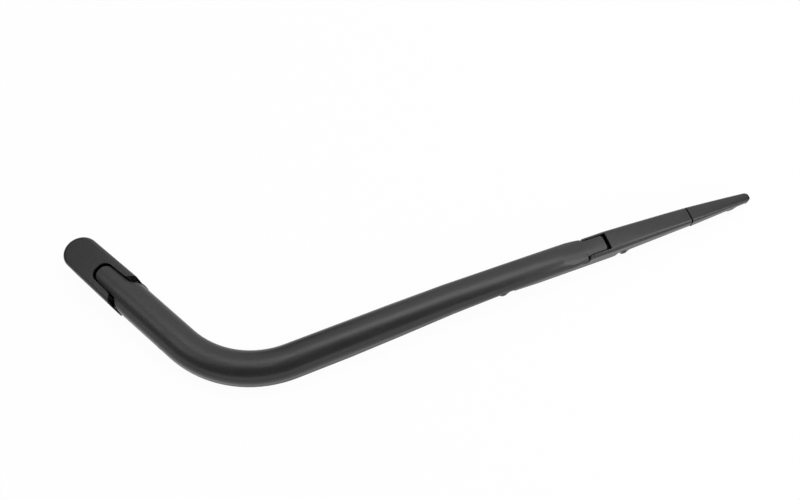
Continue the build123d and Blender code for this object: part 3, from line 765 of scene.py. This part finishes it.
turned_steel = steel_finish(
    "turned_steel",
    dark=(0.42, 0.42, 0.42),
    light=(0.60, 0.60, 0.59),
    smooth=0.24,
    rough=0.40,
    lines=(900.0, 900.0, 4000.0),
)
strip_steel = steel_finish(
    "rolled_strip_steel",
    dark=(0.40, 0.41, 0.42),
    light=(0.58, 0.58, 0.59),
    smooth=0.22,
    rough=0.36,
    lines=(60.0, 5000.0, 5000.0),
)
spring_steel = steel_finish(
    "oiled_spring_steel",
    dark=(0.10, 0.10, 0.105),
    light=(0.20, 0.195, 0.19),
    smooth=0.28,
    rough=0.46,
    lines=(1500.0, 1500.0, 1500.0),
)

rubber_black = (0.008, 0.008, 0.008)
graphite_grey = (0.022, 0.022, 0.023)
rubber, tree, shader = new_finish("graphite_rubber")
handled = use_group(tree, marks, Scale=90.0)
etched = use_group(tree, grain, Scale=5200.0)
bloom = mixed(tree, handled.outputs["Smear"], rubber_black, graphite_grey)
sheen = ranged(tree, handled.outputs["Tone"], 0.50, 0.78)
tree.links.new(bloom, shader.inputs["Base Color"])
tree.links.new(sheen, shader.inputs["Roughness"])
raise_bumps(tree, shader, etched.outputs["Height"], strength=0.3, depth=0.00003)
print("finishes:", turned_steel.name, strip_steel.name, spring_steel.name, rubber.name)

# %% [markdown]
# Now each piece is given its finish.

# %% Put the finishes on


def dress(piece, finish):
    """Gives a piece its finish."""
    piece.data.materials.clear()
    piece.data.materials.append(finish)


for node_name, piece in plastic.items():
    if node_name in ("pivot_head", "pivot_clip"):
        dress(piece, matt_black)
    else:
        dress(piece, satin_grey)
for piece in pins.values():
    dress(piece, turned_steel)
for name, piece in strips.items():
    if name.startswith("wiper_rubber"):
        dress(piece, rubber)
    else:
        dress(piece, strip_steel)
dress(spring, spring_steel)
print("dressed pieces:", len(plastic) + len(pins) + len(strips) + 1)

# %% [markdown]
# The photograph is a product shot on white. The floor is a real matt white surface that catches the
# shadow, mixed for the camera with an even white, so the background stays clean without more light
# on the arm. Mirror-like rays see that white too, which is what brightens the arm's side walls.

# %% Floor
floor_gap = 0.0002
floor_size = 8.0
floor_centre = (0.24, -0.08)
even_white_share = 0.96
pure_white = (1.0, 1.0, 1.0, 1.0)
floor_z = solid_box[0][2] - floor_gap
bpy.ops.object.select_all(action="DESELECT")
bpy.ops.mesh.primitive_plane_add(size=floor_size, location=(*floor_centre, floor_z))
floor = bpy.context.object
floor.name = "studio_floor"
bpy.ops.object.transform_apply(location=True, rotation=True, scale=True)
floor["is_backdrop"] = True
paper = bpy.data.materials.new("white_paper")
paper.use_nodes = True
tree = paper.node_tree
tree.nodes.clear()
out = tree.nodes.new("ShaderNodeOutputMaterial")
matt = add_node(tree, "ShaderNodeBsdfDiffuse", Color=(0.86, 0.86, 0.86, 1.0))
glow = add_node(tree, "ShaderNodeEmission", Color=pure_white, Strength=1.0)
blend_white = tree.nodes.new("ShaderNodeMixShader")
path = tree.nodes.new("ShaderNodeLightPath")
seen = add_node(tree, "ShaderNodeMath", operation="MAXIMUM")
most = add_node(tree, "ShaderNodeMath", operation="MULTIPLY")
most.inputs[1].default_value = even_white_share
tree.links.new(path.outputs["Is Camera Ray"], seen.inputs[0])
tree.links.new(path.outputs["Is Glossy Ray"], seen.inputs[1])
tree.links.new(seen.outputs[0], most.inputs[0])
tree.links.new(most.outputs[0], blend_white.inputs["Fac"])
tree.links.new(matt.outputs[0], blend_white.inputs[1])
tree.links.new(glow.outputs[0], blend_white.inputs[2])
tree.links.new(blend_white.outputs[0], out.inputs["Surface"])
floor.data.materials.append(paper)
print("floor height in mm:", in_mm([floor_z]))

# %% [markdown]
# The camera looks down from the near side with a 35 mm lens. These values come from fitting the
# solid's outline to the photo's: the lens from how much the blade's far end shrinks, the height
# from how much of the near walls shows.

# %% Camera
aim = Vector((0.24068, -0.08754, 0.0157))
swing = math.radians(-20.35)
rise = math.radians(66.0)
camera_distance = 0.62344
away = Vector((-math.sin(swing), math.cos(swing), 0))
up = Vector((0, 0, 1))
back = up * math.sin(rise) - away * math.cos(rise)
eye = aim + camera_distance * back
camera_data = bpy.data.cameras.new("product_camera")
camera_data.lens = 35.0
camera_data.sensor_width = 36.0
camera_data.sensor_fit = "HORIZONTAL"
camera_data.clip_start = 0.01
camera = bpy.data.objects.new("product_camera", camera_data)
bpy.context.collection.objects.link(camera)
camera.location = eye
camera.rotation_euler = (-back).to_track_quat("-Z", "Y").to_euler()
bpy.context.scene.camera = camera
print("camera at mm:", in_mm(eye))

# %% [markdown]
# Dark satin plastic shows its lamps more than its colour. A long strip overhead draws the highlight
# along the arm's crown, a wide dim panel on the far side lifts every top face, and a low card on
# the near side lifts the walls. Between the strip and the card the room is dark, and that gives the
# dark band along the shoulder. A low card far away draws the light rim on the far edges, and a card
# and two boxes at the sides brighten the leg's and the blade's rounded edges.

# %% Lights
side = Vector((math.cos(swing), math.sin(swing), 0))
strip_way = Vector((0.85, -0.526, 0))


def softbox(name, place, along, width, depth, brightness):
    """A soft rectangular lamp that points at the arm; brightness 1 is a fully lit white card."""
    lamp = bpy.data.lights.new(name, "AREA")
    lamp.shape = "RECTANGLE"
    lamp.size = width
    lamp.size_y = depth
    lamp.energy = brightness * math.pi * width * depth
    holder = bpy.data.objects.new(name, lamp)
    bpy.context.collection.objects.link(holder)
    holder.location = place
    outward = (place - aim).normalized()
    across = outward.cross(along).normalized()
    long_way = across.cross(outward)
    holder.rotation_euler = Matrix((long_way, across, outward)).transposed().to_euler()
    print(name, "at", [round(c, 2) for c in place], "brightness", brightness)


far_panel_place = aim + away * 1.0 + side * 0.24 + up * 1.2
near_card_place = aim - away * 1.5 + side * 0.2 + up * 0.62
# name, place, long direction, width, depth, brightness
softbox("overhead_strip", Vector((0.52, -0.02, 1.0)), strip_way, 1.3, 0.32, 3.5)
softbox("far_panel", far_panel_place, side, 2.4, 1.5, 1.1)
softbox("near_card", near_card_place, side, 3.6, 1.1, 1.1)
softbox("far_card", Vector((1.15, 1.75, 0.42)), blade_way, 1.9, 0.9, 1.0)
softbox("right_box", Vector((1.12, -0.78, 0.68)), away, 0.5, 0.8, 4.5)
softbox("left_box", Vector((-0.42, 0.20, 1.0)), away, 0.35, 0.35, 3.0)
softbox("left_card", Vector((-1.3, -0.2, 0.5)), away, 1.0, 0.8, 1.1)

# %% [markdown]
# The room around the lamps is nearly dark, so that they alone shape the plastic. Only the camera
# sees it as white, so that a low view has the same clean background as the photo's. Colours are
# shown as they are, without a film look.

# %% Room
room_brightness = 0.09
room = bpy.data.worlds.new("dim_room")
room.use_nodes = True
tree = room.node_tree
tree.nodes.clear()
out = tree.nodes.new("ShaderNodeOutputWorld")
dim = add_node(tree, "ShaderNodeBackground", Color=pure_white, Strength=room_brightness)
white = add_node(tree, "ShaderNodeBackground", Color=pure_white, Strength=1.0)
choose = tree.nodes.new("ShaderNodeMixShader")
path = tree.nodes.new("ShaderNodeLightPath")
tree.links.new(path.outputs["Is Camera Ray"], choose.inputs["Fac"])
tree.links.new(dim.outputs[0], choose.inputs[1])
tree.links.new(white.outputs[0], choose.inputs[2])
tree.links.new(choose.outputs[0], out.inputs["Surface"])
bpy.context.scene.world = room
bpy.context.scene.view_settings.view_transform = "Standard"
print("room brightness:", room_brightness)

# %% [markdown]
# Last, the box of the finished model is measured beside the box of the solids. The skins differ
# from the solids only in small places inside that box, so the two should agree to a fraction of a
# millimetre.

# %% Measure and finish
bpy.context.view_layer.update()
dressed_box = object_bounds()
print("box of the dressed model in mm:", in_mm(c for corner in dressed_box for c in corner))
